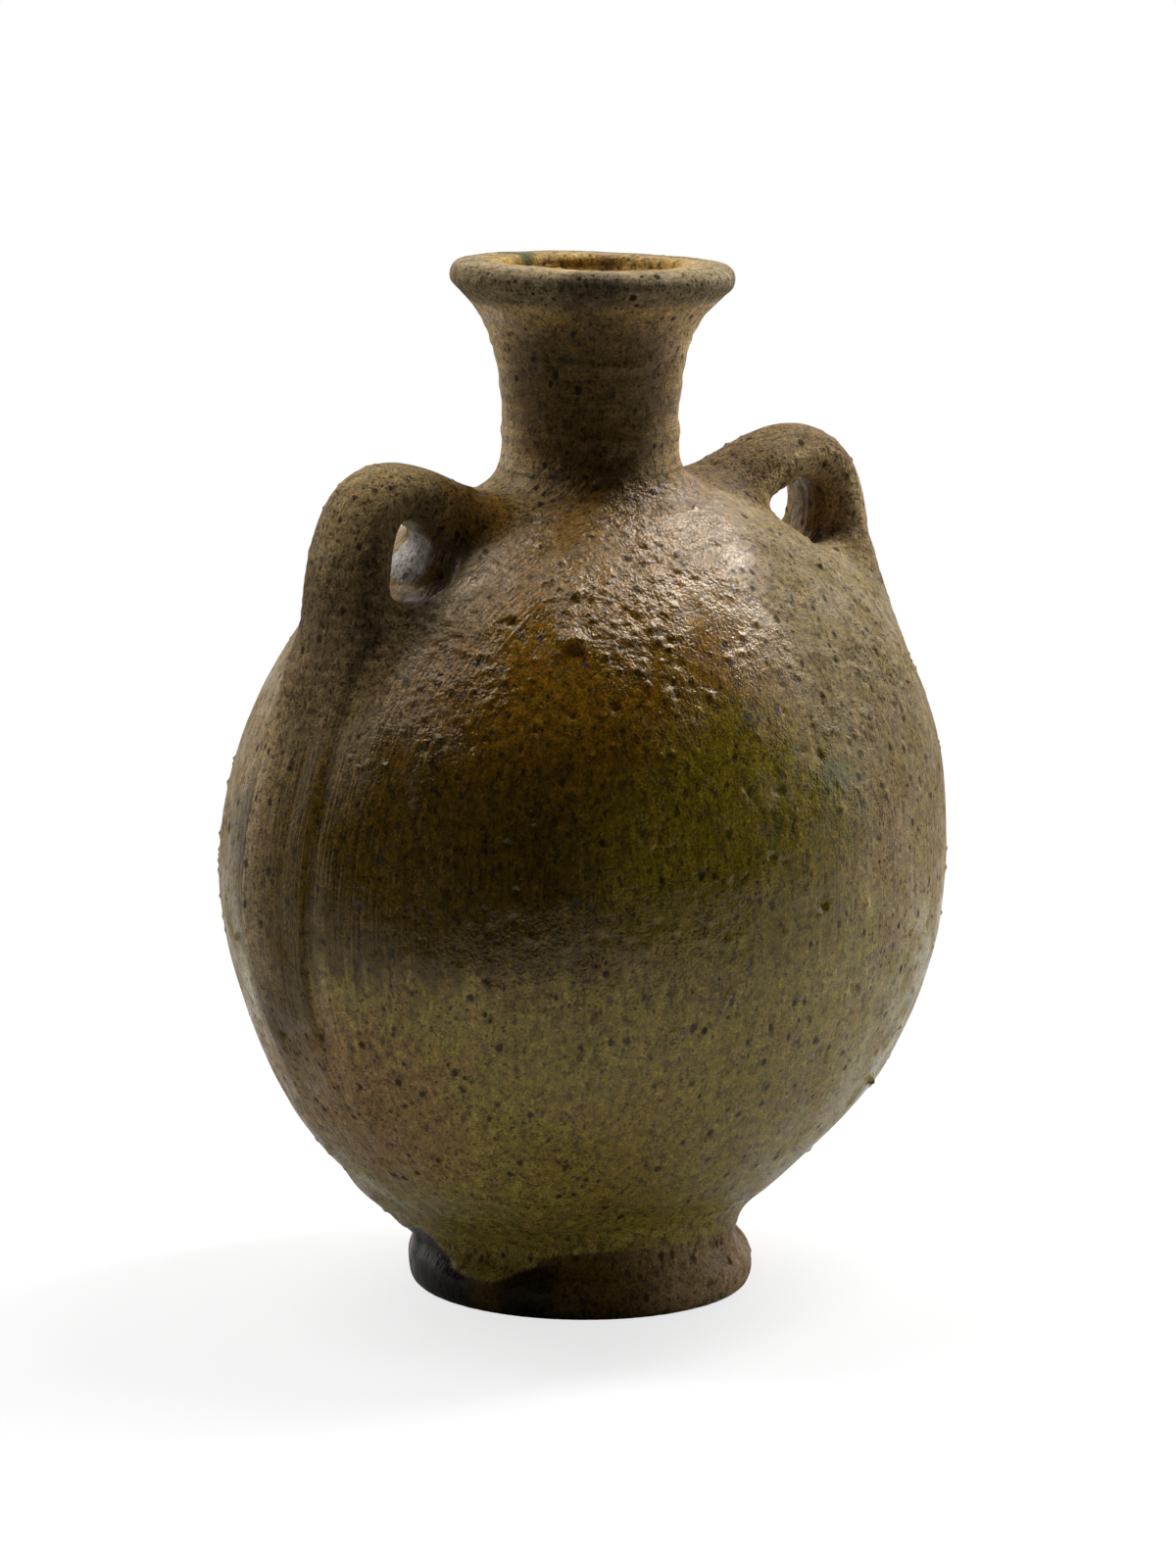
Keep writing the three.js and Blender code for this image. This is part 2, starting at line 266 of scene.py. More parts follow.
# Painted shade on the front of the neck
NECK_PAINTED_SHADE = (0.07, 0.036, 0.006)
LIP_GREY = (0.19, 0.145, 0.078)
# A dark mark on the front of the lip, deepened with painted shade
LIP_MARK_AND_SHADE = (0.05, 0.04, 0.022)
MOUTH_AMBER = (0.38, 0.235, 0.06)
MOUTH_PURPLE = (0.14, 0.06, 0.04)
FOOT_BROWN = (0.12, 0.068, 0.014)
FOOT_ROSE = (0.3, 0.2, 0.09)
# Whitish grey painted in the left hole as a reflection of the bright room
HOLE_PAINTED_REFLECTION = (0.42, 0.38, 0.34)
POOL_BLACK = (0.008, 0.009, 0.006)
BUFF_CLAY = (0.42, 0.29, 0.17)
SPECK = (0.02, 0.011, 0.004)

# Tint of the gloss, warm like the thin glaze over the clay
WARM_SHINE = (1, 0.81, 0.6, 1)

# Wavelengths of the noise that bends, curdles and clouds the glaze, and how far it is moved
DRIFT_LENGTH = 24
CURDLE_LENGTH = 5
CLOUD_LENGTH = 15
DRIFT_BEND = 9
CURDLE_BEND = 3
# Where the glaze lies thin: colour, centre, reach, strength and gloss
GLAZE_ZONES = [
    (ORANGE, (-14, -46, 186), 58, 0.85, 0.98),
    # Painted sheen on the left shoulder
    (PAINTED_LIGHT_TAN, (-54, -30, 186), 24, 0.5, 0.85),
    (ORANGE, (-40, -46, 182), 32, 0.5, 0.68),
    (BROWN_AND_PAINTED_SHADE, (-78, -24, 160), 36, 0.6, 0.5),
    (TAN, (44, -52, 165), 46, 0.8, 0.25),
    # Painted shade over the right flank
    (SHADED_FLANK_TAN, (54, -46, 160), 56, 0.75, 0.18),
    (ROSE, (-88, -10, 62), 38, 0.8, 0.55),
    (OLIVE, (-30, -66, 64), 54, 0.5, 0.75),
    (AMBER, (-39, -55, 47), 26, 0.2, 0.75),
    (ROSE, (-60, 44, 60), 40, 0.7, 0.5),
]
# Where it lies thick, above a ragged line round the body's middle, which fades between two heights: partly
# the edge of the thick glaze and partly a painted reflection of the table's edge
TIDE_AND_REFLECTION_LINE = (93, 102)
POOL_ZONES = [
    (AMBER, (-64, -46, 156), 36, 0.6, 0.6),
    (AMBER, (-42, -54, 164), 42, 0.95, 0.95),
    (BROWN, (-94, -8, 118), 36, 0.9, 0.7),
    (BROWN, (-80, -44, 122), 40, 0.9, 0.9),
    (BROWN, (-50, -64, 120), 40, 0.85, 0.95),
    (OLIVE, (-12, -76, 124), 46, 0.95, 0.95),
    (OLIVE, (8, -74, 141), 26, 0.6, 0.85),
    (GREEN, (-4, -77.5, 127), 5, 0.8, 0.9),
    (GREEN, (13, -74, 141), 6, 0.6, 0.9),
    (AMBER, (-44, -8, 206), 15, 0.9, 0.75),
    (AMBER, (28, 62, 152), 56, 0.6, 0.85),
    (BROWN, (-14, 74, 128), 52, 0.55, 0.9),
    (OLIVE, (42, 62, 114), 56, 0.7, 0.85),
]
# Marks on the lip and in the mouth, with painted shade on the front of the neck and the lip, and then on the
# foot: colour, centre, reach, strength and gloss
RIM_MARKS = [
    # Painted shade on the front of the neck
    (NECK_PAINTED_SHADE, (-15, -18, 228), 31, 0.85, 0.6),
    # Dark mark on the lip's front, partly painted shade
    (LIP_MARK_AND_SHADE, (-22, -26, 255), 10, 0.5, 0.1),
    (GREEN, (-1.4, 26.5, 259), 6, 0.9, 0.15),
    (MOUTH_PURPLE, (16, 14, 256), 3, 0.8, 0.9),
]
FOOT_MARKS = [
    (POOL_BLACK, (-43, 8, 8), 20, 1.0, 1.0),
    (POOL_BLACK, (-36, -22, 8), 11, 0.8, 0.8),
]
# Places on the handles: a run of glaze over the left root, the holes, and a whitish wall in the left hole
# that is a painted reflection of the bright room
ROOT_RUN = ((-44, -8, 206), 17)
HOLE_PLACES = [((-63, 0, 191), 17), ((63, 0, 191), 17)]
PAINTED_REFLECTION_WALL = ((-54, 3, 191), 10)
# Lower edge of the body's glaze: its height on the foot, and a tongue that has run further down
GLAZE_END = 17
GLAZE_TONGUE = (-43, -10, 12)
TONGUE_REACH = 24
TONGUE_DROP = 9

# Each glaze: strength of its specks, contrast of its runs, and level of its gloss
GLAZES = {
    "olive_glaze": (1.0, 0.28, 0.6),
    "worn_glaze": (0.9, 0.12, 0.2),
    "neck_glaze": (1.0, 0.06, 0.22),
    "foot_clay": (0.8, 0.06, 0.2),
}
# Range that most values of a noise texture lie in
NOISE_RANGE = (0.3, 0.7)

SLOTS = {
    "front_bowl": "olive_glaze",
    "rear_bowl": "olive_glaze",
    "seam_band": "worn_glaze",
    "neck": "neck_glaze",
    "neck_luting_coil": "neck_glaze",
    "left_handle": "worn_glaze",
    "right_handle": "worn_glaze",
    "foot_ring": "foot_clay",
    "foot_luting_coil": "foot_clay",
}

# Camera: fitted to the outline in the photograph
CAMERA_DISTANCE = 1642
CAMERA_HEIGHT = 449.5
CAMERA_PITCH = 11.075
CAMERA_ROLL = 0.542
FOCAL_PIXELS = 6787.7
PHOTO_HEIGHT = 1600
SENSOR = 36
CENTRE_OFFSET = -0.97

# Studio. Softboxes: direction and power
SOFTBOXES = {
    "right_softbox": ((0.585, -0.04, 0.81), 18),
    "side_softbox": ((0.74, -0.5, 0.45), 1.8),
    "left_softbox": ((-0.36, 0.36, 0.86), 10),
}
SOFTBOX_DISTANCE = 1300
SOFTBOX_WIDTH = 260
SOFTBOX_HEIGHT = 1000
# Light of the room behind the flask and behind the camera, and where one fades into the other
REAR_LIGHT = 1.2
FRONT_LIGHT = 0.02
SHADE_START = 0
SHADE_END = 0.5
# Table: its front edge and size, its brightness to the eye and in what it throws back, and its glow
TABLE_FRONT = 400
TABLE_SIZE = 4000
TABLE_WHITE = 0.9
TABLE_BOUNCE = 0.48
TABLE_GLOW = 0.75
GLOW_START = 150
GLOW_END = 700


# Distance fields

def smooth_min(a, b, radius):
    overlap = np.maximum(radius - np.abs(a - b), 0) / radius
    return np.minimum(a, b) - overlap ** 2 * radius / 4


def smooth_max(a, b, radius):
    return -smooth_min(-a, -b, radius)


def smooth_step(value, start, end):
    t = np.clip((value - start) / (end - start), 0, 1)
    return t * t * (3 - 2 * t)


def ellipse_distance(u, v, radius_u, radius_v):
    """Nearly the distance to an ellipse, exact on it."""
    scaled = np.sqrt((u / radius_u) ** 2 + (v / radius_v) ** 2)
    slope = np.sqrt((u / radius_u ** 2) ** 2 + (v / radius_v ** 2) ** 2)
    return scaled * (scaled - 1) / np.maximum(slope, 1e-6)


def outline_distance(points, u, v):
    """Signed distance to a closed outline, negative inside."""
    nearest = np.full(u.shape, np.inf, np.float32)
    inside = np.zeros(u.shape, bool)
    for (au, av), (bu, bv) in zip(points, np.roll(points, -1, axis=0)):
        eu, ev = bu - au, bv - av
        along = np.clip(((u - au) * eu + (v - av) * ev) / max(eu * eu + ev * ev, 1e-9), 0, 1)
        nearest = np.minimum(nearest, (u - au - along * eu) ** 2 + (v - av - along * ev) ** 2)
        if av != bv:
            crosses = (v >= min(av, bv)) & (v < max(av, bv))
            inside ^= crosses & (u < au + (v - av) * eu / ev)
    return np.where(inside, -1, 1) * np.sqrt(nearest)


def bezier(points, count):
    """Points of a curve of any degree."""
    t = np.linspace(0, 1, count)[:, None]
    rows = [np.array(p, float)[None] for p in points]
    while len(rows) > 1:
        rows = [a * (1 - t) + b * t for a, b in zip(rows, rows[1:])]
    return rows[0]


def arc(centre, radius, start, end, count):
    angle = np.radians(np.linspace(start, end, count))
    return np.array(centre) + radius * np.stack([np.cos(angle), np.sin(angle)], 1)


def neck_outline():
    buried = BODY_TOP - NECK_RADIUS
    flare_start = LIP_TOP - FLARE_HEIGHT
    roll = (LIP_RADIUS - LIP_ROLL, LIP_TOP - LIP_ROLL)
    lip = arc(roll, LIP_ROLL, LIP_ROLL_START, 90, CURVE_POINTS)
    edge = arc((MOUTH_RADIUS + MOUTH_EDGE, LIP_TOP - MOUTH_EDGE), MOUTH_EDGE, 90, 180, CURVE_POINTS)
    slope = math.radians(SWEEP_SLOPE)
    sweep = lip[0] - SWEEP_LENGTH * np.array([math.cos(slope), math.sin(slope)])
    flare = [
        (NECK_RADIUS, flare_start),
        (NECK_RADIUS + FLARE_LEAN, LIP_TOP - FLARE_TURN),
        sweep,
        lip[0],
    ]
    mouth = [
        edge[-1],
        (MOUTH_RADIUS, LIP_TOP - MOUTH_DROP),
        (BORE_RADIUS, LIP_TOP - MOUTH_DROP),
        (BORE_RADIUS, LIP_TOP - FLARE_TURN),
    ]
    ends = [(BORE_RADIUS, buried), (NECK_RADIUS, buried)]
    outer = [bezier(flare, CURVE_POINTS), lip[1:], edge]
    return np.concatenate([*outer, bezier(mouth, CURVE_POINTS)[1:], ends])


def foot_outline():
    draw_in = (FOOT_BULGE_HEIGHT + FOOT_WAIST_HEIGHT) / 2
    base = [(FOOT_BASE, 0), (FOOT_RADIUS, 0), (FOOT_RADIUS, FOOT_BULGE_HEIGHT)]
    waist = [
        (FOOT_RADIUS, FOOT_BULGE_HEIGHT),
        (FOOT_RADIUS, draw_in),
        (FOOT_WAIST, draw_in),
        (FOOT_WAIST, FOOT_WAIST_HEIGHT),
    ]
    top = [(FOOT_WAIST, BODY_CENTRE / 2), (FOOT_BORE, BODY_CENTRE / 2), (FOOT_BORE, 0)]
    return np.concatenate([bezier(base, CURVE_POINTS), bezier(waist, CURVE_POINTS)[1:], top])


def handle_path(side, count):
    """Centre line of a loop, as (distance from the middle, height)."""
    points = []
    for angle, rise in HANDLE_CURVES[side]:
        reach = BODY_RADIUS + rise
        turn = math.radians(angle)
        points.append((reach * math.sin(turn), BODY_CENTRE + reach * math.cos(turn)))
    return bezier(points, count)


def handle_section(place):
    """Half thickness and half width of a handle at a share of its length."""
    root = (2 * place - 1) ** 2
    return HANDLE_THICKNESS / 2 * (1 + ROOT_SWELL * root), HANDLE_WIDTH / 2 * (1 + ROOT_SPREAD * root)


def body_distance(x, y, z):
    from_axis = np.sqrt(x ** 2 + (z - BODY_CENTRE) ** 2)
    dome = ellipse_distance(from_axis, y, DOME_RADIUS, HALF_DEPTH)
    return smooth_max(dome, from_axis - BODY_RADIUS + 0 * y, EDGE_BLEND)


def handle_distance(x, y, z, side):
    path = handle_path(side, HANDLE_STEPS)
    gap = np.full((x * z).shape, np.inf)
    place = np.zeros(gap.shape)
    for i, (px, pz) in enumerate(path):
        far = np.sqrt((side * x - px) ** 2 + (z - pz) ** 2)
        place = np.where(far < gap, i / (len(path) - 1), place)
        gap = np.minimum(far, gap)
    half_thickness, half_width = handle_section(place)
    return ellipse_distance(gap, y, half_thickness, half_width)


def hole_distance(x, y, z, side):
    (across, up), (half_width, half_height), lean = HANDLE_HOLES[side]
    flare = 1 + HOLE_FLARE * smooth_step(np.abs(y), *HOLE_FLARE_SPAN)
    size = np.maximum(1 - smooth_step(np.abs(y), *HOLE_END_SPAN), CLOSED_HOLE)
    beside = side * x - across - lean * y
    return ellipse_distance(beside, z - up, half_width * flare * size, half_height * size)


def flask_field():
    """Distance to the whole outside of the flask on a grid, with the corner of the grid."""
    low = np.array([-BODY_RADIUS, -HALF_DEPTH, 0]) - GRID_MARGIN
    high = np.array([BODY_RADIUS, HALF_DEPTH, LIP_TOP]) + GRID_MARGIN
    axes = [np.arange(a, b, VOXEL, dtype=np.float32) for a, b in zip(low, high)]

    def block(x_range, y_range, z_range):
        spans = []
        for axis, (start, stop) in zip(axes, (x_range, y_range, z_range)):
            spans.append(slice(*np.searchsorted(axis, [start, stop])))
        x, y, z = (axis[span] for axis, span in zip(axes, spans))
        return tuple(spans), x[:, None, None], y[None, :, None], z[None, None, :]

    field = body_distance(*np.meshgrid(*axes, indexing="ij", sparse=True))
    for side in (-1, 1):
        across, *others = HANDLE_BLOCK
        span, x, y, z = block(sorted(side * edge for edge in across), *others)
        beside = smooth_step(np.abs(y), HANDLE_WIDTH / 4, HANDLE_WIDTH / 2)
        spread = np.maximum(beside, smooth_step(z, *UNDER_HOLE_HEIGHTS)) * smooth_step(z, *ROOT_HEIGHTS)
        blend = HOLE_BLEND + (ROOT_BLENDS[side] - HOLE_BLEND) * spread
        field[span] = smooth_min(field[span], handle_distance(x, y, z, side), blend)
        field[span] = smooth_max(field[span], -hole_distance(x, y, z, side), HOLE_EDGE)
    span, x, y, z = block(*NECK_BLOCK)
    radius = np.sqrt(x ** 2 + y ** 2) + 0 * z
    neck = outline_distance(neck_outline(), radius, z + 0 * radius)
    field[span] = smooth_min(field[span], neck, NECK_BLEND)
    field[span] = smooth_max(field[span], BORE_RADIUS - radius, EDGE_BLEND)
    span, x, y, z = block(*FOOT_BLOCK)
    radius = np.sqrt(x ** 2 + y ** 2) + 0 * z
    foot = outline_distance(foot_outline(), radius, z + 0 * radius)
    leftness = -(x * VIEW_RIGHT[0] + y * VIEW_RIGHT[1]) / np.maximum(np.sqrt(x ** 2 + y ** 2), 1)
    blend = FOOT_BLEND + (PRESSED_FOOT_BLEND - FOOT_BLEND) * smooth_step(leftness, *PRESSED_SIDE)
    field[span] = smooth_min(field[span], foot, blend)
    field[span] = smooth_max(field[span], -z, EDGE_BLEND / 4)
    return field, low


# Surface

def noise_at(points, wavelength, seed):
    """Smooth noise, about -1 to 1, for each point."""
    scaled = points / wavelength + np.array([seed * 7.3, seed * 3.1, seed * 5.7])
    return np.array([noise.noise(p) for p in scaled.tolist()])


def waves(points, kind, seed):
    """Smooth noise of one kind, given as its wavelength and height."""
    wavelength, height = kind
    return height * noise_at(points, wavelength, seed)


def spot(points, centre, reach):
    """1 at a centre, falling smoothly to 0 at its reach."""
    return np.clip(1 - ((points - np.array(centre)) ** 2).sum(1) / reach ** 2, 0, 1) ** 2


def near_handle(points):
    """1 on the handles, falling to 0 a little way off them."""
    x, y, z = points.T
    far = np.minimum(handle_distance(x, y, z, -1), handle_distance(x, y, z, 1))
    return 1 - smooth_step(far, *HANDLE_REACH)


def crust(points):
    """How crusted with grit the surface is, 0 to 1."""
    radius = np.hypot(points[:, 0], points[:, 1])
    strength = BASE_CRUST + HANDLE_CRUST * near_handle(points)
    for centre, reach, amount in CRUST_ZONES:
        strength += ZONE_CRUST * amount * spot(points, centre, reach)
    patchy = smooth_step(noise_at(points, CRUST_PATCHES, 8), -0.3, 0.35)
    strength = np.clip(strength, 0, 1) * (0.35 + 0.65 * patchy)
    strength[(radius < BORE_RADIUS + SLIP) & (points[:, 2] > BODY_CENTRE)] = 0
    strength[points[:, 2] > LIP_TOP - 2 * LIP_ROLL] = 0
    return np.clip(strength, 0, 1)


def vertex_normals(points, quads):
    corner = points[quads]
    face = np.cross(corner[:, 2] - corner[:, 0], corner[:, 3] - corner[:, 1])
    normals = np.zeros_like(points)
    for i in range(4):
        np.add.at(normals, quads[:, i], face)
    return normals / np.maximum(np.linalg.norm(normals, axis=1), 1e-9)[:, None]


def push_form(points, normals):
    """The uneven, slightly crooked form of a flask made by hand."""
    moved = points.copy()
    for centre, reach, amount in PUSHES:
        moved += normals * (amount * spot(points, centre, reach))[:, None]
    lean = RIM_LIFT * (points @ VIEW_FRONT) - RIM_TILT * (points @ VIEW_RIGHT)
    moved[:, 2] += lean * smooth_step(points[:, 2], LIP_TOP - FLARE_HEIGHT, LIP_TOP)
    low = 1 - smooth_step(points[:, 2], *FOOT_SHIFT_HEIGHTS)
    return moved + VIEW_RIGHT * (FOOT_SHIFT * low)[:, None]


def dots(points, weight, count, sizes, heights, rng):
    """Small round bumps or pits strewn over the surface, more of them where the weight is high."""
    chosen = rng.choice(len(points), count, replace=False, p=weight / weight.sum())
    radii = rng.uniform(*sizes, count)
    tops = rng.uniform(*heights, count)
    return round_marks(points, zip(points[chosen].tolist(), radii.tolist(), tops.tolist()))


def round_marks(points, marks):
    """Height of round marks, each given as centre, radius and height."""
    height = np.zeros(len(points))
    tree = kdtree.KDTree(len(points))
    for i, p in enumerate(points.tolist()):
        tree.insert(p, i)
    tree.balance()
    for centre, radius, top in marks:
        for place, i, far in tree.find_range(centre, radius):
            height[i] += top * (1 - (far / radius) ** 2) ** 2
    return height


def scratch_depth(points, start, end, width, depth):
    start, end = np.array(start), np.array(end)
    run = end - start
    along = np.clip((points - start) @ run / (run @ run), 0, 1)
    far = np.linalg.norm(points - start - along[:, None] * run, axis=1)
    return depth * np.clip(1 - (far / width) ** 2, 0, 1) * np.sin(math.pi * np.clip(along, 0.05, 0.95))


def glaze_height(points):
    """Height over the lower edge of the body's glaze, which ends on the foot."""
    uneven = 0.9 * noise_at(points, 8, 21) + 0.5 * noise_at(points, 3, 22)
    return points[:, 2] - GLAZE_END + TONGUE_DROP * spot(points, GLAZE_TONGUE, TONGUE_REACH) + uneven


def band_rim(points):
    """Height of the seam band over the bowls at the flanks."""
    x, y, z = points.T
    from_axis = np.hypot(x, z - BODY_CENTRE)
    flank = smooth_step(BODY_RADIUS - from_axis, *STRAP_DEPTHS) * smooth_step(z, *STRAP_RISE)
    flank *= 1 - smooth_step(z, *STRAP_END)
    flank *= 1 - smooth_step(y - HALF_SEAM, *LEDGE_DROP)
    strap = smooth_step(y, -HALF_SEAM - STRAP_EDGE, -HALF_SEAM + STRAP_EDGE)
    ledge = smooth_step(y, -HALF_SEAM / 2, HALF_SEAM - 1)
    return flank * (STRAP_HEIGHT * strap + (LEDGE_HEIGHT - STRAP_HEIGHT) * ledge)


def turned_distance(points):
    """Distance across the turning lines, outwards over each bowl and up the neck and the foot."""
    x, y, z = points.T
    from_axis = np.hypot(x, z - BODY_CENTRE)
    over_bowl = np.arctan2(from_axis / BODY_RADIUS, np.abs(y) / HALF_DEPTH) * BODY_RADIUS
    upright = (z > BODY_TOP + 2) & (np.hypot(x, y) < LIP_RADIUS + 2)
    return np.where(upright | (z < FOOT_WAIST_HEIGHT), z, over_bowl)


def relief(points):
    """Height of the surface's roughness over the smooth form."""
    rng = np.random.default_rng(SEED)
    x, y, z = points.T
    on_neck = smooth_step(z, BODY_TOP, NECK_COIL_TOP) * (np.hypot(x, y) < LIP_RADIUS + SLIP)
    crusted = crust(points) * (1 - HANDLE_SMOOTHING * near_handle(points))
    across = turned_distance(points)
    height = waves(points, SWELL, 1) + waves(points, DENTS, 5)
    rings = waves(np.stack([across, x / RING_STRETCH, z / RING_STRETCH], 1), TURNING_RINGS, 2)
    height += rings * smooth_step(across, *RINGED) * (1 - on_neck)
    height += waves(np.stack([z, x / LINE_STRETCH, y / LINE_STRETCH], 1), NECK_LINES, 3) * on_neck
    fold_height, fold_reach, fold_rise = FOLDS
    folds = noise_at(np.stack([x / FOLD_STRETCH, y / FOLD_STRETCH, z], 1), FOLD_LENGTH, 7)
    height += fold_rise * folds * np.exp(-((z - fold_height) / fold_reach) ** 2) * on_neck
    for ridge_height, reach, rise in NECK_RIDGES:
        height += rise * np.exp(-((z - ridge_height) / reach) ** 2) * on_neck
    height += (GRAIN_HEIGHT + CRUST_HEIGHT * crusted) * np.abs(noise_at(points, GRAIN_LENGTH, 4))
    height += crusted * waves(points, CLODS, 6)
    height += band_rim(points)
    height += dots(points, 0.02 + crusted ** 2, *GRIT, rng)
    height += dots(points, np.ones(len(points)), *PITS, rng)
    height += round_marks(points, LUMPS)
    for start, end, width, depth in SCRATCHES:
        height += scratch_depth(points, start, end, width, depth)
    drip = glaze_height(points)
    height += GLAZE_EDGE * smooth_step(drip, -0.6, 0.6) * (1 - smooth_step(drip, 0.6, 6))
    return height * smooth_step(z, 0.5, 3)


def flask_surface():
    """Points and four-sided faces of the whole outside."""
    field, corner = flask_field()
    grid = openvdb.FloatGrid()
    grid.copyFromArray(np.clip(field, -2 * VOXEL, 2 * VOXEL))
    points, quads = grid.convertToQuads()
    points = points * VOXEL + corner
    points = push_form(points, vertex_normals(points, quads))
    points += vertex_normals(points, quads) * relief(points)[:, None]
    points[:, 2] = np.maximum(points[:, 2], 0)
    return points, quads


# Meshes and cuts

def closed_mesh(name, points, faces, material):
    """A mesh in metres with its faces turned outwards."""
    points = np.asarray(points, float)
    volume = sum(
        points[f[0]] @ np.cross(points[f[i]], points[f[i + 1]]) for f in faces for i in range(1, len(f) - 1)
    )
    if volume < 0:
        faces = [f[::-1] for f in faces]
    return plain_mesh(name, points, faces, material)


def plain_mesh(name, points, faces, material):
    mesh = bpy.data.meshes.new(name)
    mesh.from_pydata((points * MM).tolist(), [], [list(f) for f in faces])
    mesh.materials.append(material)
    return mesh


def loft(name, loops, is_ring, material):
    """A closed skin over loops of points, joined in a ring or capped at both ends."""
    sides = len(loops[0])
    faces = []
    for i in range(len(loops) if is_ring else len(loops) - 1):
        here = i * sides
        after = (i + 1) % len(loops) * sides
        for j in range(sides):
            k = (j + 1) % sides
            faces.append((here + j, here + k, after + k, after + j))
    if not is_ring:
        last = (len(loops) - 1) * sides
        faces.append(tuple(range(sides))[::-1])
        faces.append(tuple(range(last, last + sides)))
    return closed_mesh(name, np.concatenate(loops), faces, material)


def turned_ring(name, outline, about, material):
    """An outline of (radius, height) points turned about the Z axis, or about the body's own axis."""
    loops = []
    for turn in np.linspace(0, 2 * math.pi, TURNED_SEGMENTS, endpoint=False):
        c, s = math.cos(turn), math.sin(turn)
        if about == "Z":
            loops.append(np.array([(r * c, r * s, h) for r, h in outline]))
        else:
            loops.append(np.array([(r * c, h, BODY_CENTRE + r * s) for r, h in outline]))
    return loft(name, loops, True, material)


def body_shape(name, inset_radius, inset_depth, material):
    """The body's domes as a smooth solid, taken in by so much at the edge and at the faces."""
    solid = bmesh.new()
    bmesh.ops.create_uvsphere(solid, u_segments=TURNED_SEGMENTS, v_segments=TURNED_SEGMENTS // 2, radius=1)
    size = Vector((DOME_RADIUS - inset_radius, DOME_RADIUS - inset_radius, HALF_DEPTH - inset_depth))
    shape = Matrix.Translation((0, 0, BODY_CENTRE * MM)) @ Matrix.Rotation(math.pi / 2, 4, "X")
    bmesh.ops.transform(solid, matrix=shape @ Matrix.Diagonal(size * MM).to_4x4(), verts=solid.verts)
    mesh = bpy.data.meshes.new(name)
    solid.to_mesh(mesh)
    solid.free()
    mesh.materials.append(material)
    return mesh


def cut(mesh, operation, tool):
    """The mesh cut by, or kept inside, a tool mesh. Cut faces take the tool's material."""
    held = [bpy.data.objects.new("work", m) for m in (mesh, tool)]
    for obj in held:
        bpy.context.scene.collection.objects.link(obj)
    modifier = held[0].modifiers.new("cut", "BOOLEAN")
    modifier.operation = operation
    modifier.solver = "MANIFOLD"
    modifier.material_mode = "TRANSFER"
    modifier.object = held[1]
    made = bpy.data.meshes.new_from_object(held[0].evaluated_get(bpy.context.evaluated_depsgraph_get()))
    for obj in held:
        bpy.data.objects.remove(obj)
    return made


def handle_tool(side, body, neck_side, joint):
    """Space of a handle and its smeared roots, down to just under the body's surface."""
    path = handle_path(side, TOOL_RINGS)
    ahead = np.gradient(path, axis=0)
    ahead /= np.linalg.norm(ahead, axis=1)[:, None]
    turn = np.linspace(0, 2 * math.pi, TOOL_SIDES, endpoint=False)
    loops = []
    for i, (px, pz) in enumerate(path):
        half_thickness, half_width = handle_section(i / (len(path) - 1))
        across = (half_thickness + ROOT_REACH) * np.cos(turn)
        along_y = (half_width + ROOT_REACH) * np.sin(turn)
        x = px - across * ahead[i][1]
        z = pz + across * ahead[i][0]
        loops.append(np.stack([side * x, along_y, z], 1))
    tube = loft("tube", loops, False, joint)
    return cut(cut(tube, "DIFFERENCE", body), "DIFFERENCE", neck_side)


def half_space(name, side, material):
    """A block that takes in everything on one side of the plane between the two bowls."""
    far = 4 * BODY_RADIUS
    y = (0, side * far)
    corners = [(a, b, c) for a in (-far, far) for b in y for c in (-far, far)]
    faces = [(0, 1, 3, 2), (4, 6, 7, 5), (0, 4, 5, 1), (2, 3, 7, 6), (0, 2, 6, 4), (1, 5, 7, 3)]
    return closed_mesh(name, corners, faces, material)


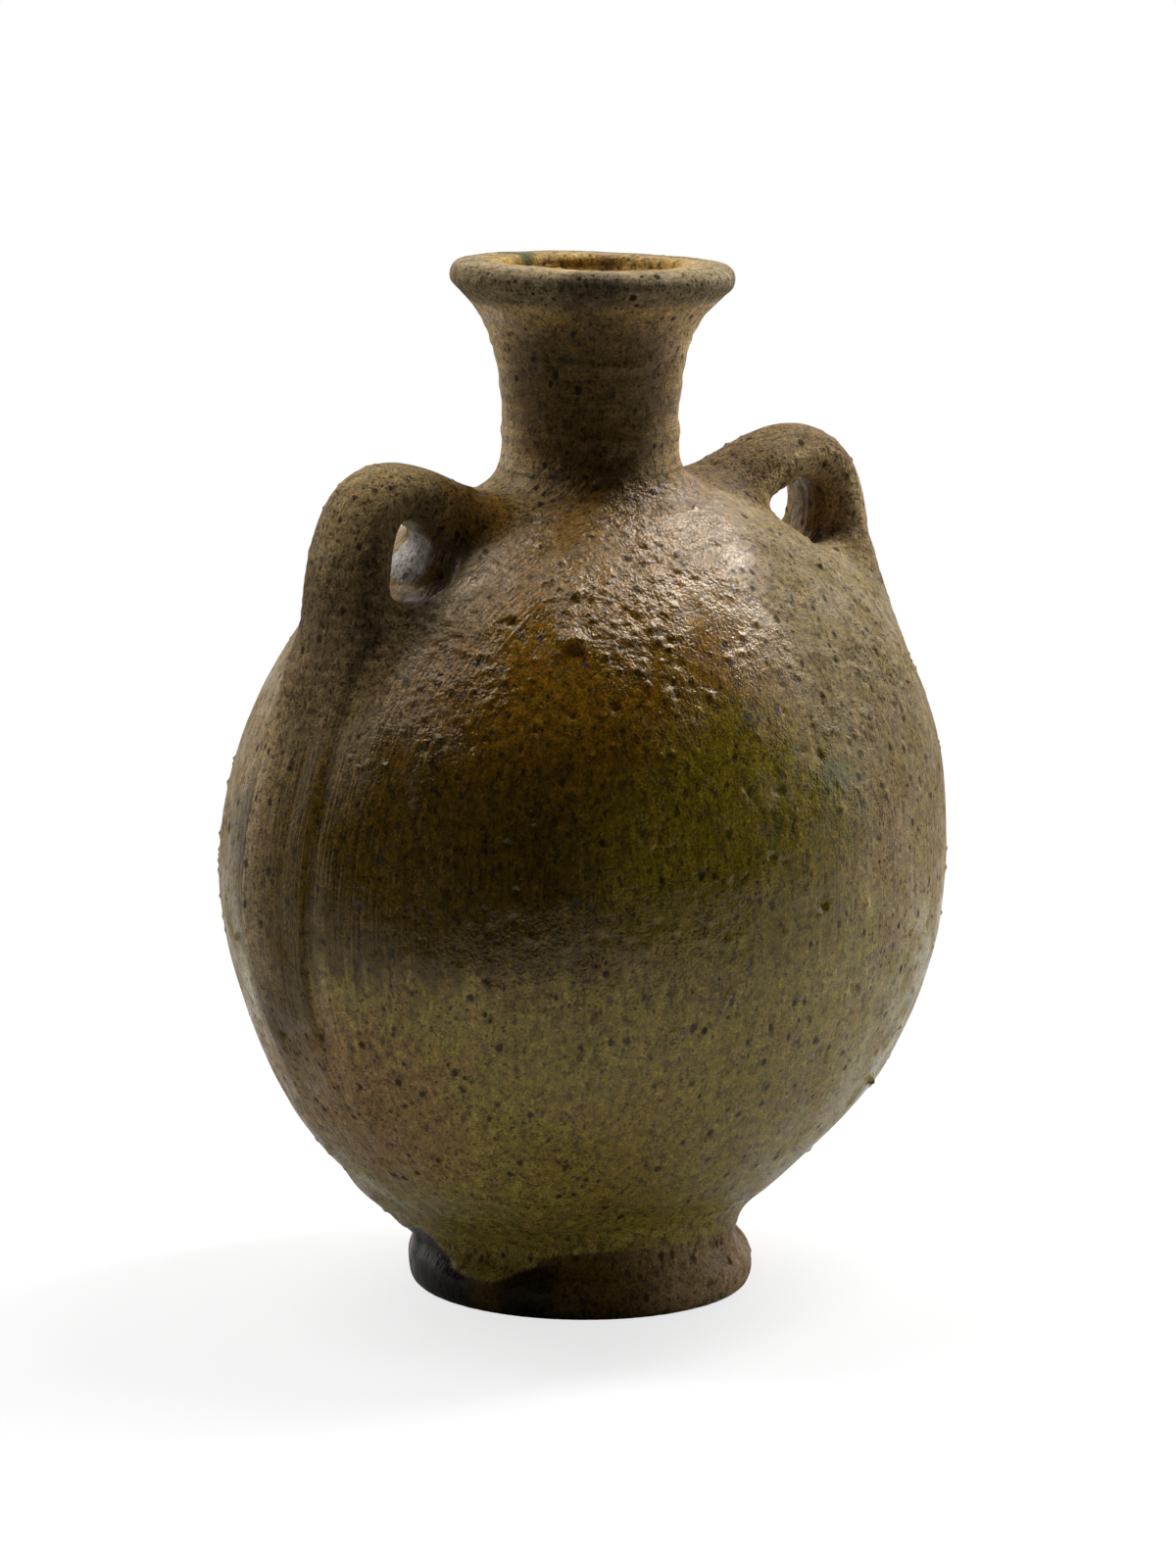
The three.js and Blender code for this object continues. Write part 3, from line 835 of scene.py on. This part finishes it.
def cutting_tools(joint):
    """The space that each luted piece takes up, in the order in which they are cut off."""
    far = 4 * BODY_RADIUS
    core = BORE_RADIUS / 2
    seat = BODY_TOP - COIL_DEPTH
    foot_wall = FOOT_WAIST + SLIP
    foot_top = BODY_CENTRE / 2
    body = body_shape("under_surface", DOME_RADIUS - BODY_RADIUS + ROOT_DEPTH, ROOT_DEPTH, joint)
    neck_side = [(core, 0), (NECK_COIL_RADIUS, 0), (NECK_COIL_RADIUS, far), (core, far)]
    neck = [
        (core, seat),
        (NECK_RADIUS, seat),
        (NECK_RADIUS, NECK_COIL_TOP),
        (far, LIP_TOP),
        (far, far),
        (core, far),
    ]
    neck_coil = [
        (core, seat - COIL_DEPTH / 2),
        (NECK_COIL_RADIUS, seat - 2 * COIL_DEPTH),
        (NECK_COIL_RADIUS, LIP_TOP),
        (core, LIP_TOP),
    ]
    foot = [
        (FOOT_BORE - COIL_DEPTH / 2, -far),
        (far, -far),
        (far, FOOT_BULGE_HEIGHT),
        (foot_wall, FOOT_WAIST_HEIGHT),
        (foot_wall, foot_top),
        (FOOT_BORE - COIL_DEPTH / 2, foot_top),
    ]
    foot_coil = [
        (FOOT_BORE, -far),
        (FOOT_COIL_RADIUS, -far),
        (FOOT_COIL_RADIUS, foot_top),
        (FOOT_BORE, foot_top),
    ]
    band = [
        (BODY_RADIUS - GROOVE_DEPTH, 0),
        (BODY_RADIUS - GROOVE_EDGE, -HALF_SEAM),
        (far, -HALF_SEAM),
        (far, HALF_SEAM),
        (BODY_RADIUS - GROOVE_EDGE, HALF_SEAM),
    ]
    beside_neck = turned_ring("neck_side", neck_side, "Z", joint)
    return {
        "neck": turned_ring("neck_tool", neck, "Z", joint),
        "neck_luting_coil": turned_ring("neck_coil_tool", neck_coil, "Z", joint),
        "left_handle": handle_tool(-1, body, beside_neck, joint),
        "right_handle": handle_tool(1, body, beside_neck, joint),
        "foot_ring": cut(turned_ring("foot_tool", foot, "Z", joint), "DIFFERENCE", body),
        "foot_luting_coil": cut(turned_ring("foot_coil_tool", foot_coil, "Z", joint), "DIFFERENCE", body),
        "seam_band": turned_ring("band_tool", band, "Y", joint),
    }


def flask_pieces(whole, joint):
    """The whole flask cut along its luted joints."""
    pieces = {}
    rest = whole
    for name, tool in cutting_tools(joint).items():
        pieces[name] = cut(rest, "INTERSECT", tool)
        rest = cut(rest, "DIFFERENCE", tool)
    rest = cut(rest, "DIFFERENCE", body_shape("cavity", BODY_WALL, BODY_WALL, joint))
    pieces["front_bowl"] = cut(rest, "INTERSECT", half_space("front_half", -1, joint))
    pieces["rear_bowl"] = cut(rest, "INTERSECT", half_space("rear_half", 1, joint))
    return pieces


def sharpen_joints(mesh):
    """Smooth shading, with the rims of cut faces kept sharp."""
    mesh.shade_smooth()
    model = bmesh.new()
    model.from_mesh(mesh)
    for edge in model.edges:
        edge.smooth = len({face.material_index for face in edge.link_faces}) < 2
    model.to_mesh(mesh)
    model.free()


# Colours over the surface

def paint(tone, colour, weight):
    return tone + (np.array(colour) - tone) * weight[:, None]


def paint_zones(tone, gloss, where, zones, limit=1):
    """Colour and gloss with each zone laid over them, fading towards its reach, within a limit."""
    for colour, centre, reach, strength, shine in zones:
        far = np.linalg.norm(where - np.array(centre), axis=1) / reach
        weight = limit * (1 - smooth_step(far, 0.55, 1.1))
        tone = paint(tone, colour, strength * weight)
        gloss = gloss + (shine - gloss) * weight
    return tone, gloss


def body_glaze(points, drift, cloud):
    """Thin glaze all over, khaki low down, thick pools above a ragged line that is partly a painted
    reflection of the table's edge, and the seam band at the flanks with a painted highlight on its ledge.
    """
    z = points[:, 2]
    depth = BODY_CENTRE - z
    ragged = noise_at(points * [1, 1, 0.15], 3.5, 14)
    warped = points + DRIFT_BEND * drift + ragged[:, None] * np.array([0, 0, 6])
    # Khaki lower on the body, partly the glaze's own colour and partly a painted reflection of the table
    tone = paint(np.tile(TAN, (len(points), 1)), KHAKI, smooth_step(cloud + depth / 40, -0.6, 0.8))
    tone = paint(tone, ROSE, 0.5 * smooth_step(noise_at(points, 6, 20), 0.05, 0.4))
    gloss = 0.35 + 0.4 * smooth_step(cloud + depth / 60, -0.5, 0.8)
    tone, gloss = paint_zones(tone, gloss, warped, GLAZE_ZONES)
    # The pools end at a ragged line, partly a painted reflection of the table's edge
    shore = z + 6 * cloud + 6 * ragged + 4 * noise_at(points, 6, 19)
    tone, gloss = paint_zones(tone, gloss, warped, POOL_ZONES, smooth_step(shore, *TIDE_AND_REFLECTION_LINE))
    strap = band_rim(points)
    tone = paint(tone, BROWN, 0.95 * np.clip(strap / STRAP_HEIGHT, 0, 1))
    # Painted highlight along the crest of the band's ledge
    tone = paint(tone, PAINTED_LIGHT_TAN, 0.7 * np.clip(strap / LEDGE_HEIGHT, 0, 1) ** 4)
    return tone, gloss


def handle_glaze(points, normals, cloud, tone, gloss, grit):
    """Thin matt glaze on the handles, with painted shade on the sides of the left handle and the tops of the
    right one, painted light on the sides of the right one, and glossy holes with a painted reflection in the
    left one.
    """
    x = points[:, 0]
    handle = near_handle(points)
    bare = 0.8 * handle * (1 - smooth_step(spot(points, *ROOT_RUN), 0, 0.5))
    side_face = bare * (1 - smooth_step(normals[:, 2] + 0.3 * cloud, 0.1, 0.7))
    tone = paint(tone, TAN, bare)
    # Painted shade on the sides of the left handle and the tops of the right one, and painted light on the
    # sides of the right one
    tone = paint(tone, BROWN_AND_PAINTED_SHADE, side_face * (x < 0))
    tone = paint(tone, PAINTED_LIGHT_TAN, 0.9 * side_face * (x > 0))
    tone = paint(tone, BROWN_AND_PAINTED_SHADE, 0.9 * (bare - side_face) * (x > 0))
    gloss = gloss * (1 - 0.6 * handle)
    for centre, reach in HOLE_PLACES:
        hole = smooth_step(spot(points, centre, reach), 0.05, 0.4)
        tone = paint(tone, AMBER, 0.6 * hole)
        gloss = gloss + (0.95 - gloss) * hole
        grit = grit * (1 - hole)
    # Painted reflection on the wall inside the left hole
    tone = paint(tone, HOLE_PAINTED_REFLECTION, smooth_step(spot(points, *PAINTED_REFLECTION_WALL), 0.1, 0.4))
    return tone, gloss, grit


def neck_glaze(points, normals, cloud, curdled, tone, gloss, grit):
    """Brown neck, grey matt lip, amber mouth, and the marks on them, with painted shade on the front of the
    neck and the lip.
    """
    x, y, z = points.T
    radius = np.hypot(x, y)
    on_neck = smooth_step(z, BODY_TOP - 2, NECK_COIL_TOP) * (radius < LIP_RADIUS + 2)
    tone = paint(tone, NECK_BROWN, 0.85 * on_neck * (1 - 0.3 * cloud))
    gloss = gloss + (0.5 - gloss) * on_neck
    on_lip = smooth_step(z + cloud, LIP_TOP - 10, LIP_TOP - 7) * on_neck
    tone = paint(tone, LIP_GREY, 0.9 * on_lip)
    gloss = gloss + (0.08 - gloss) * on_lip
    inward = -(normals[:, 0] * x + normals[:, 1] * y) / np.maximum(radius, 1)
    in_bore = (z > BODY_TOP - 8) * (radius < MOUTH_RADIUS + MOUTH_EDGE)
    in_mouth = smooth_step(inward, 0.15, 0.5) * in_bore
    inner_edge = 1 - smooth_step(radius + 2 * cloud, MOUTH_RADIUS, LIP_RADIUS - 4)
    on_top = smooth_step(normals[:, 2], 0.6, 0.9) * on_lip * inner_edge
    tone = paint(tone, MOUTH_AMBER, np.maximum(in_mouth, 0.6 * on_top))
    gloss = gloss + (0.25 - gloss) * np.maximum(in_mouth, 0.4 * on_top)
    # The rim marks also paint shade on the front of the neck and the lip
    tone, gloss = paint_zones(tone, gloss, curdled, RIM_MARKS)
    return tone, gloss, grit * (1 - 0.6 * in_mouth)


def foot_glaze(points, cloud, curdled, tone, gloss):
    """Pale lower edge of the body's glaze, the brown and rosy foot below it, and the dark pools on that."""
    drip = glaze_height(points)
    glazed = smooth_step(drip, -0.5, 0.3)
    on_foot = 1 - glazed
    tone = paint(tone, KHAKI, 0.6 * glazed * (1 - smooth_step(drip, 0.4, 1.6)))
    tone = paint(tone, FOOT_BROWN, on_foot)
    tone = paint(tone, FOOT_ROSE, on_foot * smooth_step(points @ VIEW_RIGHT + 8 * cloud, 4, 30))
    gloss = gloss + (0.3 - gloss) * on_foot
    return paint_zones(tone, gloss, curdled, FOOT_MARKS, on_foot)


def glaze(points, normals):
    """Colour, gloss and grit of the surface at each point."""
    drift = np.stack([noise_at(points, DRIFT_LENGTH, seed) for seed in (11, 12, 13)], 1)
    curdle = np.stack([noise_at(points, CURDLE_LENGTH, seed) for seed in (16, 17, 18)], 1)
    curdled = points + CURDLE_BEND * drift + CURDLE_BEND * curdle
    cloud = noise_at(points, CLOUD_LENGTH, 15)
    grit = crust(points)
    tone, gloss = body_glaze(points, drift, cloud)
    gloss = gloss * (1 - 0.08 * grit)
    tone, gloss, grit = handle_glaze(points, normals, cloud, tone, gloss, grit)
    tone, gloss, grit = neck_glaze(points, normals, cloud, curdled, tone, gloss, grit)
    tone, gloss = foot_glaze(points, cloud, curdled, tone, gloss)
    return tone, np.clip(gloss, 0, 1), np.clip(grit, 0, 1)


def add_values(mesh):
    """Stores colour, gloss, grit and the distance across the turning lines on a piece's points."""
    points = np.zeros(3 * len(mesh.vertices), np.float32)
    mesh.vertices.foreach_get("co", points)
    normals = np.zeros(3 * len(mesh.vertices), np.float32)
    mesh.vertex_normals.foreach_get("vector", normals)
    points = points.reshape(-1, 3) / MM
    tone, gloss, grit = glaze(points, normals.reshape(-1, 3))
    colour = np.concatenate([np.clip(tone, 0, 1), np.ones((len(tone), 1))], 1)
    stored = mesh.attributes.new("tone", "FLOAT_COLOR", "POINT").data
    stored.foreach_set("color", colour.astype(np.float32).ravel())
    for name, values in (("gloss", gloss), ("grit", grit), ("turned", turned_distance(points) * MM)):
        mesh.attributes.new(name, "FLOAT", "POINT").data.foreach_set("value", values.astype(np.float32))


# Materials

class Graph:
    """Nodes of a material or a world, with short calls to add and join them."""

    def __init__(self, owner):
        owner.use_nodes = True
        self.owner = owner
        self.tree = owner.node_tree

    def set(self, node, inputs):
        for key, value in inputs.items():
            if isinstance(value, bpy.types.NodeSocket):
                self.tree.links.new(value, node.inputs[key])
            else:
                node.inputs[key].default_value = value

    def shade(self, inputs):
        """Sets the surface shader that a new material comes with."""
        self.set(self.tree.nodes["Principled BSDF"], inputs)

    def add(self, kind, inputs, **settings):
        node = self.tree.nodes.new("ShaderNode" + kind)
        for key, value in settings.items():
            setattr(node, key, value)
        self.set(node, inputs)
        return node.outputs

    def value(self, name):
        return self.add("Attribute", {}, attribute_name=name)["Fac"]

    def math(self, operation, a, b):
        return self.add("Math", {0: a, 1: b}, operation=operation)[0]

    def times(self, a, b):
        return self.math("MULTIPLY", a, b)

    def chain(self, operation, values):
        """The result of many values, taken one after the other."""
        result = values[0]
        for value in values[1:]:
            result = self.math(operation, result, value)
        return result

    def ramp(self, value, start, end, low, high, **settings):
        """The value from start to end becomes low to high."""
        inputs = {"Value": value, "From Min": start, "From Max": end, "To Min": low, "To Max": high}
        return self.add("MapRange", inputs, **settings)["Result"]

    def share(self, value, low, high):
        """The value from 0 to 1 becomes low to high."""
        return self.ramp(value, 0.0, 1.0, low, high)

    def swing(self, value, low, high):
        """The usual range of a noise becomes low to high."""
        return self.ramp(value, *NOISE_RANGE, low, high)

    def mix(self, factor, a, b, blend="MIX"):
        node = self.tree.nodes.new("ShaderNodeMix")
        node.data_type = "RGBA"
        node.blend_type = blend
        self.set(node, {0: factor, 6: a, 7: b})
        return node.outputs[2]

    def place(self, stretch):
        where = self.add("TexCoord", {})["Object"]
        return self.add("Mapping", {"Vector": where, "Scale": stretch})["Vector"]

    def noise_there(self, where, wavelength, detail):
        return self.add("TexNoise", {"Vector": where, "Scale": 1 / (wavelength * MM), "Detail": detail})

    def noise(self, wavelength, detail, stretch=(1, 1, 1)):
        return self.noise_there(self.place(stretch), wavelength, detail)["Fac"]

    def lines(self, wavelength, detail):
        """Noise drawn out along the turning lines."""
        where = self.add("SeparateXYZ", {"Vector": self.place((0.05, 0.05, 0.05))})
        places = {"X": self.value("turned"), "Y": where["X"], "Z": where["Z"]}
        drawn = self.add("CombineXYZ", places)["Vector"]
        return self.noise_there(drawn, wavelength, detail)["Fac"]

    def specks(self, spacing, smallest, largest, stretch=(1, 1, 1)):
        """1 inside scattered ragged specks, with radii in shares of their spacing."""
        where = self.place(stretch)
        wobble = self.noise_there(where, 0.9, 1.0)["Color"]
        bend = {0: wobble, 1: (MM, MM, MM), 2: where}
        bent = self.add("VectorMath", bend, operation="MULTIPLY_ADD")["Vector"]
        cells = self.add("TexVoronoi", {"Vector": bent, "Scale": 1 / (spacing * MM)})
        chance = self.add("SeparateColor", {"Color": cells["Color"]})["Red"]
        radius = self.share(self.math("POWER", chance, 2.0), smallest, largest)
        return self.ramp(self.math("DIVIDE", cells["Distance"], radius), 0.6, 1.1, 1.0, 0.0)


def glaze_material(name, speck_strength, streaks, shine):
    """Glaze with the colour, gloss and grit of its points, and with specks, pits, runs and turning lines."""
    graph = Graph(bpy.data.materials.new(name))
    tone = graph.add("Attribute", {}, attribute_name="tone")["Color"]
    gloss = graph.value("gloss")
    grit = graph.value("grit")
    fine = graph.noise(0.6, 3.0)
    crumbs = graph.noise(0.9, 3.0)
    mottle = graph.noise(2.4, 5.0)
    undulation = graph.noise(6.5, 2.0)
    patches = graph.noise(9.0, 3.0)
    runs = graph.noise(1.2, 4.0, (1, 1, 0.07))
    blots = graph.ramp(graph.noise(1.5, 4.0, (1, 1, 0.6)), 0.37, 0.42, 1.0, 0.0)
    grains = graph.ramp(graph.noise(1.0, 2.0), 0.6, 0.7, 0.0, 1.0)
    lines = graph.lines(1.1, 3.0)
    lined = graph.ramp(graph.value("turned"), 0.07, 0.12, 0.0, 1.0)
    large = graph.specks(3.3, 0.04, 0.36, (1, 1, 0.75))
    small = graph.specks(1.5, 0.1, 0.4)
    specks = graph.math("MAXIMUM", large, graph.times(small, 0.8))
    pits = graph.times(graph.ramp(crumbs, 0.35, 0.43, 1.0, 0.0), grit)

    shades = [
        graph.swing(mottle, 0.62, 1.38),
        graph.swing(runs, 1 - streaks, 1 + streaks),
        graph.math("ADD", graph.times(graph.swing(lines, -0.15, 0.15), lined), 1.0),
        graph.swing(fine, 0.6, 1.4),
        graph.share(blots, 1.0, 0.45),
        graph.share(grains, 1.0, 1.35),
        graph.share(pits, 1.0, 0.25),
    ]
    shade = graph.chain("MULTIPLY", shades)
    grey = graph.add("CombineColor", {"Red": shade, "Green": shade, "Blue": shade})["Color"]
    colour = graph.mix(1.0, tone, grey, "MULTIPLY")
    colour = graph.mix(graph.times(specks, speck_strength), colour, (*SPECK, 1))

    roughness = [
        graph.share(gloss, 0.86, 0.06),
        graph.swing(fine, -0.1, 0.1),
        graph.ramp(patches, 0.35, 0.65, -0.16, 0.16),
        graph.times(graph.math("MAXIMUM", pits, specks), 0.25),
    ]
    heights = [
        graph.times(crumbs, graph.share(grit, 0.02, 0.5)),
        graph.times(fine, graph.share(gloss, 0.25, 0.06)),
        graph.times(undulation, 0.35),
        graph.times(runs, 0.06),
        graph.times(lines, graph.times(lined, 0.3)),
        graph.times(specks, -0.03),
        graph.times(blots, -0.03),
    ]
    height = graph.chain("ADD", heights)
    bump = graph.add("Bump", {"Height": height, "Distance": MM, "Strength": 1.0})["Normal"]
    graph.shade({"Base Color": colour, "Roughness": graph.chain("ADD", roughness), "Normal": bump})
    graph.shade({"Specular IOR Level": shine, "Specular Tint": WARM_SHINE})
    return graph.owner


def joint_material():
    """Bare clay inside the body and in the joints."""
    graph = Graph(bpy.data.materials.new("bare_clay"))
    crumbs = graph.noise(2.2, 5.0)
    dark = tuple(0.7 * c for c in BUFF_CLAY)
    colour = graph.mix(graph.ramp(crumbs, 0.35, 0.65, 0.0, 1.0), (*dark, 1), (*BUFF_CLAY, 1))
    colour = graph.mix(graph.specks(4.0, 0.03, 0.15), colour, (*SPECK, 1))
    bump = graph.add("Bump", {"Height": crumbs, "Distance": 0.4 * MM, "Strength": 1.0})["Normal"]
    graph.shade({"Base Color": colour, "Roughness": graph.swing(crumbs, 0.75, 0.9), "Normal": bump})
    return graph.owner


# Studio

def make_camera():
    data = bpy.data.cameras.new("camera")
    data.sensor_width = SENSOR
    data.lens = FOCAL_PIXELS / PHOTO_HEIGHT * SENSOR
    data.shift_x = -CENTRE_OFFSET / PHOTO_HEIGHT
    camera = bpy.data.objects.new("camera", data)
    bpy.context.scene.collection.objects.link(camera)
    place = Vector(VIEW_FRONT) * CAMERA_DISTANCE + Vector((0, 0, CAMERA_HEIGHT))
    upright = Matrix.Rotation(VIEW_TURN, 4, "Z") @ Matrix.Rotation(math.radians(90 - CAMERA_PITCH), 4, "X")
    roll = Matrix.Rotation(math.radians(CAMERA_ROLL), 4, "Z")
    camera.matrix_world = Matrix.Translation(place * MM) @ upright @ roll
    bpy.context.scene.camera = camera


def make_world():
    """White all round to the eye, but dim on the side of the room that the camera stands in."""
    graph = Graph(bpy.data.worlds.new("studio"))
    direction = graph.add("TexCoord", {})["Generated"]
    facing = graph.add("VectorMath", {0: direction, 1: -VIEW_FRONT}, operation="DOT_PRODUCT")["Value"]
    fade = (SHADE_START, SHADE_END, FRONT_LIGHT, REAR_LIGHT)
    level = graph.ramp(facing, *fade, interpolation_type="SMOOTHSTEP")
    seen = graph.add("LightPath", {})["Is Camera Ray"]
    strength = graph.add("Mix", {"Factor": seen, "A": level, "B": 1})[0]
    graph.set(graph.tree.nodes["Background"], {"Color": (1, 1, 1, 1), "Strength": strength})
    bpy.context.scene.world = graph.owner


def make_softbox(name, direction, power):
    data = bpy.data.lights.new(name, "AREA")
    data.shape = "RECTANGLE"
    data.size = SOFTBOX_WIDTH * MM
    data.size_y = SOFTBOX_HEIGHT * MM
    data.energy = power
    lamp = bpy.data.objects.new(name, data)
    bpy.context.scene.collection.objects.link(lamp)
    towards = Vector(direction).normalized()
    lamp.location = (Vector((0, 0, BODY_CENTRE)) + towards * SOFTBOX_DISTANCE) * MM
    lamp.rotation_euler = towards.to_track_quat("Z", "Y").to_euler()


def table_material():
    """White to the eye, glowing more away from the flask, but dimmer in the light that it throws back."""
    graph = Graph(bpy.data.materials.new("white_table"))
    graph.tree.nodes.remove(graph.tree.nodes["Principled BSDF"])
    seen = graph.add("LightPath", {})["Is Camera Ray"]
    lit = graph.add("BsdfDiffuse", {"Color": graph.share(seen, TABLE_BOUNCE, TABLE_WHITE)})[0]
    where = graph.add("TexCoord", {})["Object"]
    far = graph.add("VectorMath", {0: where}, operation="LENGTH")["Value"]
    fade = graph.ramp(far, GLOW_START * MM, GLOW_END * MM, TABLE_GLOW, 1)
    glow = graph.add("Emission", {})[0]
    both = graph.add("MixShader", {0: graph.times(seen, fade), 1: lit, 2: glow})[0]
    graph.set(graph.tree.nodes["Material Output"], {"Surface": both})
    return graph.owner


def make_table():
    """A table whose front edge lies a little before the flask."""
    corners = []
    for across, ahead in ((-1, 0), (1, 0), (1, 1), (-1, 1)):
        beside = VIEW_RIGHT * across * TABLE_SIZE / 2
        corners.append(beside + VIEW_FRONT * (TABLE_FRONT - ahead * TABLE_SIZE))
    mesh = plain_mesh("table", np.array(corners), [(0, 1, 2, 3)], table_material())
    table = bpy.data.objects.new("table", mesh)
    bpy.context.scene.collection.objects.link(table)


# Assembly

glazes = {slot: glaze_material(slot + "_look", *look) for slot, look in GLAZES.items()}
bare_clay = joint_material()
outside = bpy.data.materials.new("outside")
points, quads = flask_surface()
whole = plain_mesh("whole", points, quads.tolist(), outside)
for name, mesh in flask_pieces(whole, bare_clay).items():
    mesh.name = name + "_mesh"
    sharpen_joints(mesh)
    add_values(mesh)
    for i, material in enumerate(mesh.materials):
        if material == outside:
            mesh.materials[i] = glazes[SLOTS[name]]
    piece = bpy.data.objects.new(name + "_clay", mesh)
    bpy.context.scene.collection.objects.link(piece)
    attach(piece, "root")
    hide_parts(name)

make_camera()
make_world()
for name, (direction, power) in SOFTBOXES.items():
    make_softbox(name, direction, power)
make_table()
bpy.context.scene.view_settings.view_transform = "Standard"
